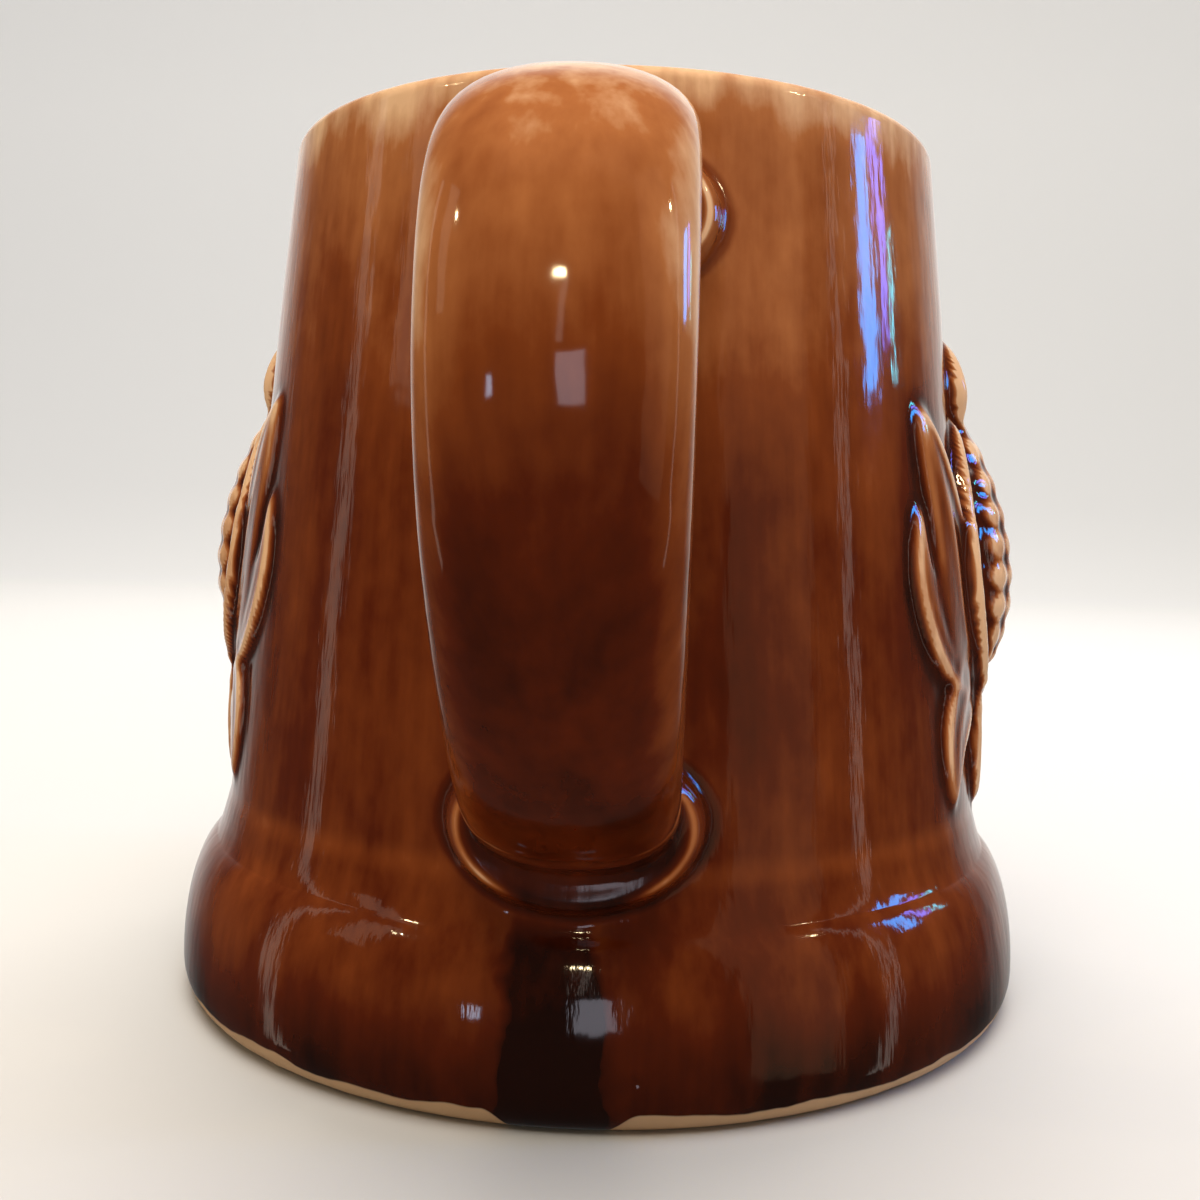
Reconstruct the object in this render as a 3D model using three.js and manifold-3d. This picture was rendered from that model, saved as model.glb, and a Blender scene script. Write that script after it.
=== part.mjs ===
// A brown-glazed stoneware mug: a tapering hollow body on a flared foot, a broad C handle,
// and a moulded ear of corn in its husk on each side. Millimetres, +Z up, handle towards -Y.
import * as THREE from 'three';
import { mergeVertices } from 'three/addons/utils/BufferGeometryUtils.js';
import Module from 'manifold-3d';

const wasm = await Module();
wasm.setup();

// Body: a straight-sided cone from the rim down to the crease above the foot
const mugHeight = 115;
const rimRadius = 44.5;
const creaseRadius = 53.2;
const creaseHeight = 25.5;
const wallThickness = 4.6;
const floorThickness = 6;
const lipRound = 1.9;
const lipSteps = 3;
const turns = 64;

// Foot: swells out under the crease and rounds in again to the flat underside
const footRadius = 59.3;
const footWidestHeight = 4.6;
const undersideRadius = 56;
const shoulderFall = 4.2;
const shoulderFrom = 20;
const shoulderTo = 75;
const neckProud = 0.5;
const neckFall = 1.2;
const neckRise = 2;
const footWall = 6.2;
const floorCornerRound = 7;
const footSteps = 4;

// Handle: centre line in the plane x = 0, given as reach from the mug's axis and height
const handleWidth = 22.5;
const handleThickness = 12.5;
const handleReach = 86.5;
const handleTopHeight = 98;
const handleFrontHeight = 80;
const handleRootHeight = 32;
const handleRootSink = 2.2;
const handleSides = 14;
const handleSteps = 22;

// How the centre line bends: it crowns past the upper root, turns the shoulder, runs down the flank
// in shares of the drop, and comes in over the heel to the lower root
const crownShare = 0.55;
const crownRise = 1.5;
const shoulderIn = 4.5;
const shoulderDrop = 5;
const flank = [{ share: 0.3, inwards: 2.5 }, { share: 0.62, inwards: 12 }];
const heelReach = 11;
const heelRise = 5;

const collarSpread = 3;
const collarThickness = 3.4;
const collarSteps = 4;

// Ear of corn: lies along the wall, wider and higher a little below its middle. The mould halves
// don't meet square to the handle, so the left ear lies a little less than half a turn from the right
const leftEarTurn = 176.5;
const earBase = 43;
const earTip = 81.5;
const earHalfWidth = 10;
const earRise = 7.8;
const kernelRows = 9;
const kernelColumns = 6;
const kernelSwell = 0.8;
const reliefSink = 1.6;
const bulgeSkew = 0.8;
const earFullness = 0.6;
const leafFullness = 0.7;

// Husk leaves, each mirrored across the ear: spine points as [distance from the ear's middle, height],
// and how high the left and right rims stand, seen from base to tip, as shares of the leaf's rise
const leafTrough = 0.55;
const leafRib = 0.7;
const leaves = [
  {
    spine: [[2, earBase - 2], [11, 51], [12.5, 64], [8, 79.5]],
    halfWidth: 5.4, rise: 5, rims: [1, 1],
  },
  {
    spine: [[4, earBase - 2], [19, 50], [23, 65], [29.5, 79.5]],
    halfWidth: 7.4, rise: 2.6, rims: [1, 0.4],
  },
  {
    spine: [[8, earBase], [24.5, 47.5], [31, 57], [31, 67.5]],
    halfWidth: 3.4, rise: 1.9, rims: [0.6, 1],
  },
  {
    spine: [[1, earBase + 2], [16, 44.5], [24.5, 38.5], [26.5, 29]],
    halfWidth: 5.6, rise: 2, rims: [0.8, 0.8],
  },
  {
    spine: [[2, earBase + 3], [9, 39], [11, creaseHeight + 1]],
    halfWidth: 4.2, rise: 3.4, rims: [1, 1],
  },
];
const silk = { base: earTip - 4, tip: 91.5, halfWidth: 6.5, rise: 4.2 };
const stalk = { base: earBase + 6, tip: creaseHeight - 2, halfWidth: 3.4, rise: 3 };
const leafSteps = 6;
const tuftSteps = 5;

const wallSlope = (creaseRadius - rimRadius) / (mugHeight - creaseHeight);
const wallRadiusAt = (height) => rimRadius + wallSlope * (mugHeight - height);

// Points of a round stretch, from one angle to another about a centre (radius, height)
function arc(centreR, centreZ, radiusR, radiusZ, from, to, steps) {
  const points = [];
  for (let i = 0; i <= steps; i++) {
    const angle = THREE.MathUtils.degToRad(from + ((to - from) * i) / steps);
    const radius = centreR + radiusR * Math.cos(angle);
    const height = centreZ + radiusZ * Math.sin(angle);
    points.push(new THREE.Vector2(radius, height));
  }
  return points;
}

// Half section of the body, from the middle of the underside round to the middle of the floor
function bodyProfile() {
  const shoulderHeight = creaseHeight - shoulderFall - footWidestHeight;
  const footSwell = footRadius - creaseRadius;
  const edgeRound = footRadius - undersideRadius;
  const lipHeight = mugHeight - lipRound;
  const outerLip = rimRadius - lipRound;
  const innerLip = rimRadius - wallThickness + lipRound;
  const innerCrease = wallRadiusAt(creaseHeight) - wallThickness;
  const cornerRadius = footRadius - footWall - floorCornerRound;
  const cornerHeight = floorThickness + floorCornerRound;
  return [
    new THREE.Vector2(0, 0),
    ...arc(undersideRadius, footWidestHeight, edgeRound, footWidestHeight, -90, 0, footSteps),
    ...arc(creaseRadius, footWidestHeight, footSwell, shoulderHeight, shoulderFrom, shoulderTo, footSteps),
    new THREE.Vector2(creaseRadius + neckProud, creaseHeight - neckFall),
    new THREE.Vector2(wallRadiusAt(creaseHeight + neckRise), creaseHeight + neckRise),
    new THREE.Vector2(wallRadiusAt(mugHeight / 2), mugHeight / 2),
    ...arc(outerLip, lipHeight, lipRound, lipRound, 0, 90, lipSteps),
    ...arc(innerLip, lipHeight, lipRound, lipRound, 90, 180, lipSteps),
    new THREE.Vector2(innerCrease, creaseHeight),
    ...arc(cornerRadius, cornerHeight, floorCornerRound, floorCornerRound, 0, -90, footSteps),
    new THREE.Vector2(0, floorThickness),
  ];
}

function bodyGeometry() {
  const geometry = new THREE.LatheGeometry(bodyProfile(), turns);
  return geometry.rotateX(Math.PI / 2);
}

function handleCurve() {
  const topReach = wallRadiusAt(handleTopHeight) - handleRootSink;
  const rootReach = wallRadiusAt(handleRootHeight) - handleRootSink;
  const drop = handleFrontHeight - handleRootHeight;
  const path = [
    [topReach, handleTopHeight],
    [topReach + crownShare * (handleReach - topReach), handleTopHeight + crownRise],
    [handleReach - shoulderIn, handleTopHeight - shoulderDrop],
    [handleReach, handleFrontHeight],
    ...flank.map(({ share, inwards }) => [handleReach - inwards, handleFrontHeight - share * drop]),
    [rootReach + heelReach, handleRootHeight + heelRise],
    [rootReach, handleRootHeight],
  ];
  const points = path.map(([reach, height]) => new THREE.Vector3(0, -reach, height));
  return new THREE.CatmullRomCurve3(points, false, 'centripetal');
}

function handleGeometry() {
  const section = new THREE.Shape();
  section.absellipse(0, 0, handleWidth / 2, handleThickness / 2, 0, 2 * Math.PI, false, 0);
  return new THREE.ExtrudeGeometry(section, {
    extrudePath: handleCurve(),
    steps: handleSteps,
    curveSegments: handleSides / 2,
  });
}

// A point on or above the wall: across is measured round the wall from +X, height along the axis
function onWall(across, height, proud) {
  const radius = wallRadiusAt(height);
  const angle = across / radius;
  const reach = radius + proud;
  return new THREE.Vector3(reach * Math.cos(angle), reach * Math.sin(angle), height);
}

// A closed form warped from a sphere: place(u, v) gives each point, u round the form, v from end to end
function warped(around, along, place) {
  const geometry = new THREE.SphereGeometry(1, around, along);
  const position = geometry.getAttribute('position');
  for (let i = 0; i < position.count; i++) {
    const column = i % (around + 1) % around;
    const row = Math.floor(i / (around + 1));
    const point = place(column / around, row / along);
    position.setXYZ(i, point.x, point.y, point.z);
  }
  return geometry;
}

// Across the back of a relief form two facets lie sunk in the wall, and the rest make its face
const backFacets = 2;
function faceTurn(u, around) {
  const faceFacets = around - backFacets;
  const index = Math.round(u * around);
  return index <= faceFacets ? index / faceFacets : 1 + (index - faceFacets) / backFacets;
}

// How a form widens from its base and narrows to its tip, where it is nothing
const swelling = (v, skew, fullness) => (v <= 0 || v >= 1 ? 0 : Math.sin(Math.PI * v ** skew) ** fullness);

function earGeometry() {
  const around = 2 * kernelColumns + backFacets;
  return warped(around, 2 * kernelRows, (u, v) => {
    const turn = faceTurn(u, around);
    const angle = Math.PI * turn;
    const outline = swelling(v, bulgeSkew, earFullness);
    const height = earBase + v * (earTip - earBase);
    if (turn > 1 || outline === 0) return onWall(0, height, -reliefSink);
    const kernelRow = Math.sin(Math.PI * kernelRows * v);
    const kernel = Math.abs(kernelRow * Math.sin(kernelColumns * angle));
    const across = earHalfWidth * outline * Math.cos(angle);
    const proud = earRise * outline * Math.sin(angle) + kernelSwell * kernel;
    return onWall(across, height, proud);
  });
}

// A leaf from edge to edge: raised rims, hollow between, and a rib down the middle
const leafAcross = [1, 0.84, 0.45, 0, -0.45, -0.84, -1];

function leafGeometry({ spine, halfWidth, rise, rims }, along) {
  const curve = new THREE.SplineCurve(spine.map(([across, height]) => new THREE.Vector2(across, height)));
  const leafFace = [0, rims[0], leafTrough, leafRib, leafTrough, rims[1], 0];
  const faceFacets = leafFace.length - 1;
  const around = faceFacets + backFacets;
  return warped(around, along, (u, v) => {
    const turn = faceTurn(u, around);
    const middle = curve.getPoint(v);
    const forward = curve.getTangent(v);
    const outline = swelling(v, bulgeSkew, leafFullness);
    if (turn > 1 || outline === 0) return onWall(middle.x, middle.y, -reliefSink);
    const index = Math.round(turn * faceFacets);
    const aside = leafAcross[index] * halfWidth * outline;
    const onEdge = index === 0 || index === faceFacets;
    const proud = onEdge ? -reliefSink / 2 : rise * leafFace[index] * Math.sqrt(outline);
    return onWall(middle.x - forward.y * aside, middle.y + forward.x * aside, proud);
  });
}

// A flat-edged oval pad round the handle's end, bent to the wall
function collarGeometry(height, halfHeight) {
  const halfWidth = handleWidth / 2 + collarSpread;
  return warped(handleSides, collarSteps, (u, v) => {
    const angle = 2 * Math.PI * u;
    const reach = swelling(v, 1, earFullness);
    const across = halfWidth * reach * Math.cos(angle);
    const up = halfHeight * reach * Math.sin(angle);
    const lift = Math.cos(Math.PI * v);
    return onWall(across, height + up, (lift > 0 ? collarThickness : reliefSink) * lift);
  });
}

// A closed solid of a geometry, with its faces turned outwards
function solid(geometry) {
  geometry.deleteAttribute('normal');
  geometry.deleteAttribute('uv');
  const merged = mergeVertices(geometry, 1e-4);
  const vertProperties = new Float32Array(merged.getAttribute('position').array);
  const triVerts = new Uint32Array(merged.index.array);
  if (signedVolume(vertProperties, triVerts) < 0) {
    for (let i = 0; i < triVerts.length; i += 3) {
      [triVerts[i], triVerts[i + 1]] = [triVerts[i + 1], triVerts[i]];
    }
  }
  return new wasm.Manifold(new wasm.Mesh({ numProp: 3, vertProperties, triVerts }));
}

function signedVolume(points, corners) {
  const [a, b, c] = [new THREE.Vector3(), new THREE.Vector3(), new THREE.Vector3()];
  let volume = 0;
  for (let i = 0; i < corners.length; i += 3) {
    a.fromArray(points, 3 * corners[i]);
    b.fromArray(points, 3 * corners[i + 1]);
    c.fromArray(points, 3 * corners[i + 2]);
    volume += a.dot(b.cross(c)) / 6;
  }
  return volume;
}

// Everything that stands proud of the wall on one side, round +X
function reliefSolids() {
  const forms = [solid(earGeometry())];
  for (const leaf of leaves) {
    const form = solid(leafGeometry(leaf, leafSteps));
    forms.push(form, form.mirror([0, 1, 0]));
  }
  for (const tuft of [silk, stalk]) {
    const spine = [[0, tuft.base], [0, tuft.tip]];
    forms.push(solid(leafGeometry({ ...tuft, spine, rims: [1, 1] }, tuftSteps)));
  }
  return forms;
}

function mugGeometry() {
  let mug = solid(bodyGeometry());
  for (const form of reliefSolids()) {
    mug = mug.add(form).add(form.rotate([0, 0, leftEarTurn]));
  }
  const collarHalf = handleThickness / 2 + collarSpread;
  for (const height of [handleTopHeight, handleRootHeight]) {
    mug = mug.add(solid(collarGeometry(height, collarHalf)).rotate([0, 0, -90]));
  }
  mug = mug.add(solid(handleGeometry()));
  const mesh = mug.getMesh();
  const geometry = new THREE.BufferGeometry();
  geometry.setAttribute('position', new THREE.BufferAttribute(mesh.vertProperties, mesh.numProp));
  geometry.setIndex(new THREE.BufferAttribute(mesh.triVerts, 1));
  geometry.computeVertexNormals();
  return geometry;
}

const glaze = new THREE.MeshStandardMaterial({ color: 0x6b2a0e, roughness: 0.12, metalness: 0 });

const stoneware = new THREE.Group();
const mug = new THREE.Mesh(mugGeometry(), glaze);
mug.name = 'mug';
stoneware.add(mug);

export default stoneware;
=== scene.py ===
# Brown-glazed stoneware mug with a broad handle and a moulded ear of corn on each side
import math
import bpy
import numpy as np
from mathutils import Matrix, Vector
from mathutils.kdtree import KDTree


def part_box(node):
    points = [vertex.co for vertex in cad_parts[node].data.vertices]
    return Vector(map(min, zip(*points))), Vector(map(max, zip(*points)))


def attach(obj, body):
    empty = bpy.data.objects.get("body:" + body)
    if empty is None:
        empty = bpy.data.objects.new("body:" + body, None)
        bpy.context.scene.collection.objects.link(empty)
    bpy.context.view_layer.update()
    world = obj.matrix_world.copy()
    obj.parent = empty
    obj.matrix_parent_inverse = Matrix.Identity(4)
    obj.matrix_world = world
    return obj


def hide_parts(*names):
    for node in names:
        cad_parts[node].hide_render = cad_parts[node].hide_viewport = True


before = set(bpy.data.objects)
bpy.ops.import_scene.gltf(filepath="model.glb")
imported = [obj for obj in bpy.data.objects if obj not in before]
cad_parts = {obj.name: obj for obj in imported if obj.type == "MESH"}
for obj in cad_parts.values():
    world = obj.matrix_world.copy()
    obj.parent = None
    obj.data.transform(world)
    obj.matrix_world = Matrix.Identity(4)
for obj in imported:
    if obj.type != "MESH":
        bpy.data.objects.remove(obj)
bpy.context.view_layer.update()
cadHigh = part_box("mug")[1]
mm = 0.001

# Sizes of the clay body in millimetres, as the part has them, and how finely it is modelled
body = {
    "height": cadHigh.z / mm,
    "rimRadius": 44.5,
    "creaseRadius": 53.2,
    "creaseHeight": 25.5,
    "wall": 4.6,
    "floor": 6,
    "lipRound": 1.9,
    "footRadius": 59.3,
    "footWidest": 4.6,
    "undersideRadius": 56,
    "shoulderFall": 4.2,
    "shoulderArc": (6, 75),  # degrees from the widest ring up to the crease
    "neck": [(0.9, 2.6), (0.5, 1.2), (0.2, 0)],  # out of the crease and down from it
    "footWall": 6.2,
    "cornerRound": 7,
    "roundSteps": 8,
    "shoulderSteps": 28,
    "upperRows": 16,
    "fineRow": 0.55,
    "reliefBand": (23.5, 94.5),  # heights between which the wall carries relief
    # steps and degrees of each stretch round the mug: relief, gap, handle, gap, relief, back
    "turns": [(168, 96), (4, 22), (50, 40), (4, 22), (168, 96), (18, 84)],
    "closest": 0.02,  # points nearer than this are merged
}

handle = {
    "width": 22.5,
    "thickness": 12.5,
    "reach": 86.5,
    "topHeight": 98,
    "frontHeight": 80,
    "rootHeight": 32,
    "crown": (0.55, 1.5),  # highest corner: share of the way out, and rise above the upper root
    "shoulder": (4.5, 5),  # in from the reach and down from the upper root
    "grip": [(2.5, 0.3), (12, 0.62)],  # in from the reach, and share of the way down to the lower root
    "heel": (11, 5),  # out and up from the lower root
    "sink": 2.2,
    "squareness": 2.25,
    "sides": 48,
    "stepsEach": 12,  # rings between two corners of the path
    "collarSpread": 3,
    "collarThickness": 3.4,
    "collarFullness": 0.6,
    "collarRun": (0, 0.2, 0.25, 0.31, 0.38, 0.45, 0.5),  # from the middle of the collar out to its edge
    "collarFace": (0.76, 0.78, 0.88, 1, 0.86, 0.5, 0),
    "closest": 0.15,  # points of the join nearer than this are merged
    "joinDepth": 9,  # how far in and out of the wall the join is looked for
    "seamAngle": 22,
    "seamBlend": 3.4,
    "meltFactor": 0.6,
    "meltRounds": 22,
}

ear = {
    "base": 43,
    "tip": 81.5,
    "halfWidth": 10,
    "rise": 7.8,
    "outline": (0.8, 0.6),  # skew and fullness
    "rows": 9,
    "columns": 6,
    "kernelFill": 0.96,
    "kernelLift": 0.1,
    "kernelDepth": 1.9,
    "kernelBevel": 0.34,
}

# Each leaf has a mirror twin: spine points are [distance from the ear's middle, height], rims the shares
# of the rise that its left and right edges keep
leaves = [
    {"spine": [[2, 41], [11, 51], [12.5, 64], [8, 79.5]],
     "halfWidth": 5.4, "rise": 5, "rims": (1, 1)},
    {"spine": [[4, 41], [19, 50], [23, 65], [29.5, 79.5]],
     "halfWidth": 7.4, "rise": 2.6, "rims": (1, 0.4)},
    {"spine": [[8, 43], [24.5, 47.5], [31, 57], [31, 67.5]],
     "halfWidth": 3.4, "rise": 1.9, "rims": (0.6, 1)},
    {"spine": [[1, 45], [16, 44.5], [24.5, 38.5], [26.5, 29]],
     "halfWidth": 5.6, "rise": 2, "rims": (0.8, 0.8)},
    {"spine": [[2, 46], [9, 39], [11, 26.5]],
     "halfWidth": 4.2, "rise": 3.4, "rims": (1, 1)},
]
silk = {"base": 77.5, "tip": 91.5, "halfWidth": 6.5, "rise": 4.2}
stalk = {"base": 49, "tip": 23.5, "halfWidth": 3.4, "rise": 3}
leftEarTurn = 176.5  # the mould halves don't meet square to the handle

# Face of a leaf from edge to edge: raised rims, hollow between, a rib down the middle and fine veins
leafFace = {
    "across": [-1, -0.95, -0.87, -0.74, -0.4, -0.12, 0, 0.12, 0.4, 0.74, 0.87, 0.95, 1],
    "outline": (0.8, 0.7),
    "edge": 0.8,  # share of the rim's height at the very edge
    "slope": 0.4,  # share of the rim in the height just inside it
    "trough": 0.56,
    "beside": 0.62,
    "rib": 0.74,
    "vein": 0.03,
    "veins": 7,
    "margin": 0.003,  # share of the length left off at each end
    "steps": (44, 64),  # across and along
}

# The fine sheet dropped on the relief: reach to each side, spacing, start, softness in cells, and how far
# inside the wall's face a point may lie to be raised with it
sheet = {"half": 42, "cell": 0.2, "drop": 15, "soften": 3.5, "skin": 0.5}

# Glaze depth runs from 0, thin and amber, to 1 in dark pools; clouds are given by scale, detail and
# strength, and pairs of limits by where a change starts and where it is full
glaze = {
    "ramp": [
        (0.0, (0.82, 0.5, 0.27)),
        (1.0, (0.015, 0.003, 0.001)),
        (0.2, (0.42, 0.14, 0.04)),
        (0.45, (0.21, 0.045, 0.008)),
        (0.68, (0.095, 0.013, 0.002)),
    ],
    "base": 0.6,
    "pooled": 0.55,
    "pooledRange": (-1, 0.55),
    "spreads": (1.1, 3.4),  # how far the molten glaze levels out
    "weights": (5, 0.6),
    "clouds": [
        ((0.11, 0.11, 0.012), 4, 0.45),
        ((0.05, 0.05, 0.04), 2, 0.4),
        ((0.6, 0.6, 0.03), 4, 0.16),
        ((0.35, 0.35, 0.22), 5, 0.22),
    ],
    # Painted light by height: the glaze is made lighter towards the top for light from above, and darker
    # at the foot as painted shade
    "paintedLightByHeight": [(60, 112, -0.34), (15, 3, 0.3)],  # limits of height, then the depth gained
    # The thin, pale glaze on the rim is partly real, where the glaze breaks at an edge, and partly a
    # painted highlight along the rim
    "lip": {"waves": ((0.08, 0.08, 0.02), 2, 8), "deep": 9, "depth": -0.2},
    "crease": {"above": 1, "limits": (2.2, 0), "depth": -0.1},
    "outside": (-2.5, -1.5),  # limits of distance from the wall that tell the outside from the cavity
    "roughness": 0.07,
    "patches": ((0.3, 0.3, 0.1), 3, 0.06),
    "dullClay": 0.85,
    "dullPool": 0.5,
    "specular": 0.4,
    "clay": (0.56, 0.36, 0.20),
}

# Glaze round the handle's roots, deep and dark inside each collar and in the groove round it, partly
# pooled glaze and partly painted shade, with a pale crest line that is partly a painted highlight: limits
# of distance from the wall, and of the well inside each collar
collarPoolAndShade = {
    "near": (8.5, 4.5),
    "wellLimits": (0.9, 0.78),
    "well": 0.3,
    # place, width and depth of each line, then where it starts and is full on its way from the middle
    "lines": [(1.05, 0.1, 0.25, -2, -1), (0.9, 0.05, -0.4, 5, 10), (0.92, 0.16, 0.38, 9, 4)],
}

# Glaze on the handle, thin along its edges; the lower half is darkened as painted shade, for light falling
# from above
handleGlazeAndShade = {
    "proud": (8, 12),
    "edges": (6.5, 11),
    "edgeTop": (101, 84),  # limits of height above which the edges aren't thinner
    "edgeDepth": -0.28,
    "lower": (88, 60),
    "lowerShade": 0.34,
    "depth": -0.14,
}

# A painted dark reflection that hangs down the foot below the handle, coloured as deep glaze, and the line
# of bare clay along the foot
footReflection = {
    "waves": ((0.09, 0.09, 0.09), 3, 9),
    "middle": -2,
    "sides": (5.6, 4.2),
    "below": (23, 19),
    "depth": 0.35,
}
bareClay = {
    "height": 2.5,
    "waves": ((0.07, 0.07, 0.02), 3, 3.4),
    # The bare line drops away under the painted dark reflection, so that the dark patch reaches the table
    # there
    "reflectionMiddle": -0.5,
    "reflectionSides": (8.5, 3.5),
    "reflectionDrop": -3.5,
    "edge": (0.15, -0.15),
}

# Unevenness of the glazed face
rippleGlaze = {
    "swell": ((0.16, 0.16, 0.1), 2, 1),
    "streaks": ((0.9, 0.9, 0.03), 3, 0.25),
    "wall": (10, 6),
    "pit": (7.3, -58.8, 6.5),  # a burst bubble in the foot
    "pitEdge": (0.9, 0.2),
    "strength": 0.3,
    "distance": 0.0004,
}

# Camera: turn from the front, millimetres from the mug's axis and above the table, angles, focal length
view = {
    "turn": 2.895,
    "away": 185.35,
    "height": 65.3,
    "pitch": 3.942,
    "yaw": -0.212,
    "roll": 1.272,
    "lens": 37.54,
}

studio = {
    "floor": (0.56, 0.545, 0.52),
    "floorRoughness": 0.9,
    "floorSize": 3,
    "backdrop": 2,
    "backdropRound": 0.6,
    "glow": (0.5, -0.1, 1.1),  # brightness of the floor behind the mug, and where it starts and is full
    "glowColour": (1, 0.98, 0.95),
    "world": (1, 0.95, 0.9),
    "worldDim": 0.06,
    "worldBright": 0.9,  # the room is bright behind the mug, and shows along its outlines
    "behind": (0.5, 0.9),
    "above": (-0.5, -0.1),
    "aim": 60,  # height in millimetres that the lamps point at
    "unseen": ("topSoft", "backSoft"),  # lamps too large to leave a mirror image
    "glints": ("lowLeft", "lowRight"),  # low lamps, which leave a mirror image and light nothing
}

# Lamps stand round the mug: turn from the front to its right, climb, metres away, size, power, colour
lamps = {
    "topSoft": (0, 78, 0.9, (0.8, 0.8), 13, (1, 0.95, 0.89)),
    "lampLeft": (-56, 34, 0.7, (0.02, 0.02), 0.25, (1, 0.8, 0.45)),
    "lampFront": (-2, 24, 0.7, (0.02, 0.02), 0.2, (1, 0.8, 0.45)),
    "lampRight": (70, 37, 0.7, (0.02, 0.02), 0.25, (1, 0.8, 0.45)),
    "windowWide": (93, 20, 0.7, (0.09, 0.17), 0.95, (0.02, 0.34, 1)),
    "windowThin": (102, 21, 0.7, (0.04, 0.14), 0.3, (0.16, 0.2, 1)),
    "windowEdge": (107, 17, 0.7, (0.015, 0.1), 0.1, (0.1, 0.8, 1)),
    "frontWindow": (-1, 15, 0.7, (0.02, 0.2), 0.02, (1, 0.85, 0.75)),
    "lowLeft": (-25, -4, 0.7, (0.03, 0.06), 0.06, (0.6, 0.75, 1)),
    "lowRight": (3, -2, 0.7, (0.12, 0.16), 0.22, (0.8, 0.78, 0.9)),
    "leftStrip": (-84, 4, 0.7, (0.05, 1.0), 0.18, (1, 0.85, 0.7)),
    "leftVeil": (-64, 28, 0.7, (0.1, 0.34), 0.1, (1, 0.78, 0.6)),
    "rightVeil": (52, 14, 0.7, (0.34, 1.1), 0.5, (1, 0.6, 0.36)),
    "rightStrip": (79, 5, 0.7, (0.03, 1.1), 0.14, (1, 0.88, 0.78)),
    "backSoft": (180, 50, 0.8, (1.2, 0.3), 6, (1, 0.98, 0.95)),
}

wallSlope = (body["creaseRadius"] - body["rimRadius"]) / (body["height"] - body["creaseHeight"])


def wallRadius(height):
    return body["rimRadius"] + wallSlope * (body["height"] - height)


def selectOnly(obj):
    bpy.ops.object.select_all(action="DESELECT")
    obj.select_set(True)
    bpy.context.view_layer.objects.active = obj


def startObject(name):
    obj = bpy.context.active_object
    obj.name = name
    obj.data.name = name
    return obj


def pointsOf(obj):
    points = np.empty(len(obj.data.vertices) * 3)
    obj.data.vertices.foreach_get("co", points)
    return points.reshape(-1, 3)


def movePoints(obj, points):
    obj.data.vertices.foreach_set("co", np.asarray(points, float).ravel())
    obj.data.update()


def applyModifiers(obj):
    selectOnly(obj)
    for modifier in list(obj.modifiers):
        bpy.ops.object.modifier_apply(modifier=modifier.name)


def turnOutwards(obj):
    selectOnly(obj)
    bpy.ops.object.mode_set(mode="EDIT")
    bpy.ops.mesh.select_all(action="SELECT")
    bpy.ops.mesh.normals_make_consistent(inside=False)
    bpy.ops.object.mode_set(mode="OBJECT")


def joinAll(pieces, name):
    bpy.ops.object.select_all(action="DESELECT")
    for piece in pieces:
        piece.select_set(True)
    bpy.context.view_layer.objects.active = pieces[0]
    bpy.ops.object.join()
    return startObject(name)


def arc(centreR, centreZ, radiusR, radiusZ, start, end, steps):
    angles = np.radians(np.linspace(start, end, steps + 1))
    return [(centreR + radiusR * math.cos(a), centreZ + radiusZ * math.sin(a)) for a in angles]


def straight(start, end, steps):
    shares = np.linspace(0, 1, steps + 1)[1:-1]
    return [(start[0] + s * (end[0] - start[0]), start[1] + s * (end[1] - start[1])) for s in shares]


# Half section of the body, from the middle of the underside round to the middle of the floor
def bodyProfile():
    b = body
    steps = b["roundSteps"]
    crease, creaseRadius, widest = b["creaseHeight"], b["creaseRadius"], b["footWidest"]
    edge = b["footRadius"] - b["undersideRadius"]
    underside = arc(b["undersideRadius"], widest, edge, widest, -90, 0, steps)
    flare, shoulderRise = b["footRadius"] - creaseRadius, crease - b["shoulderFall"] - widest
    shoulder = arc(creaseRadius, widest, flare, shoulderRise, *b["shoulderArc"], b["shoulderSteps"])
    neck = [(creaseRadius + out, crease - down) for out, down in b["neck"]]
    wallStart, wallFineEnd = ((wallRadius(z), z) for z in (crease + 2, b["reliefBand"][1]))
    fineRows = int((wallFineEnd[1] - wallStart[1]) / b["fineRow"])
    lip, lipHeight = b["lipRound"], b["height"] - b["lipRound"]
    lipOut = arc(b["rimRadius"] - lip, lipHeight, lip, lip, 0, 90, steps)
    lipIn = arc(b["rimRadius"] - b["wall"] + lip, lipHeight, lip, lip, 90, 180, steps)
    innerCrease = (wallRadius(crease) - b["wall"], crease)
    innerFoot, bend = b["footRadius"] - b["footWall"], b["cornerRound"]
    corner = arc(innerFoot - bend, b["floor"] + bend, bend, bend, 0, -90, steps)
    points = [(0, 0)] + straight((0, 0), underside[0], 2) + underside
    points += straight(underside[-1], shoulder[0], 2) + shoulder + neck
    points += [(wallRadius(crease + 1), crease + 1), wallStart]
    points += straight(wallStart, wallFineEnd, fineRows) + [wallFineEnd]
    points += straight(wallFineEnd, lipOut[0], b["upperRows"]) + lipOut + lipIn
    points += straight(lipIn[-1], innerCrease, 3) + [innerCrease]
    points += straight(innerCrease, corner[0], 3) + corner
    points += straight(corner[-1], (0, b["floor"]), 2) + [(0, b["floor"])]
    return points


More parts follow.
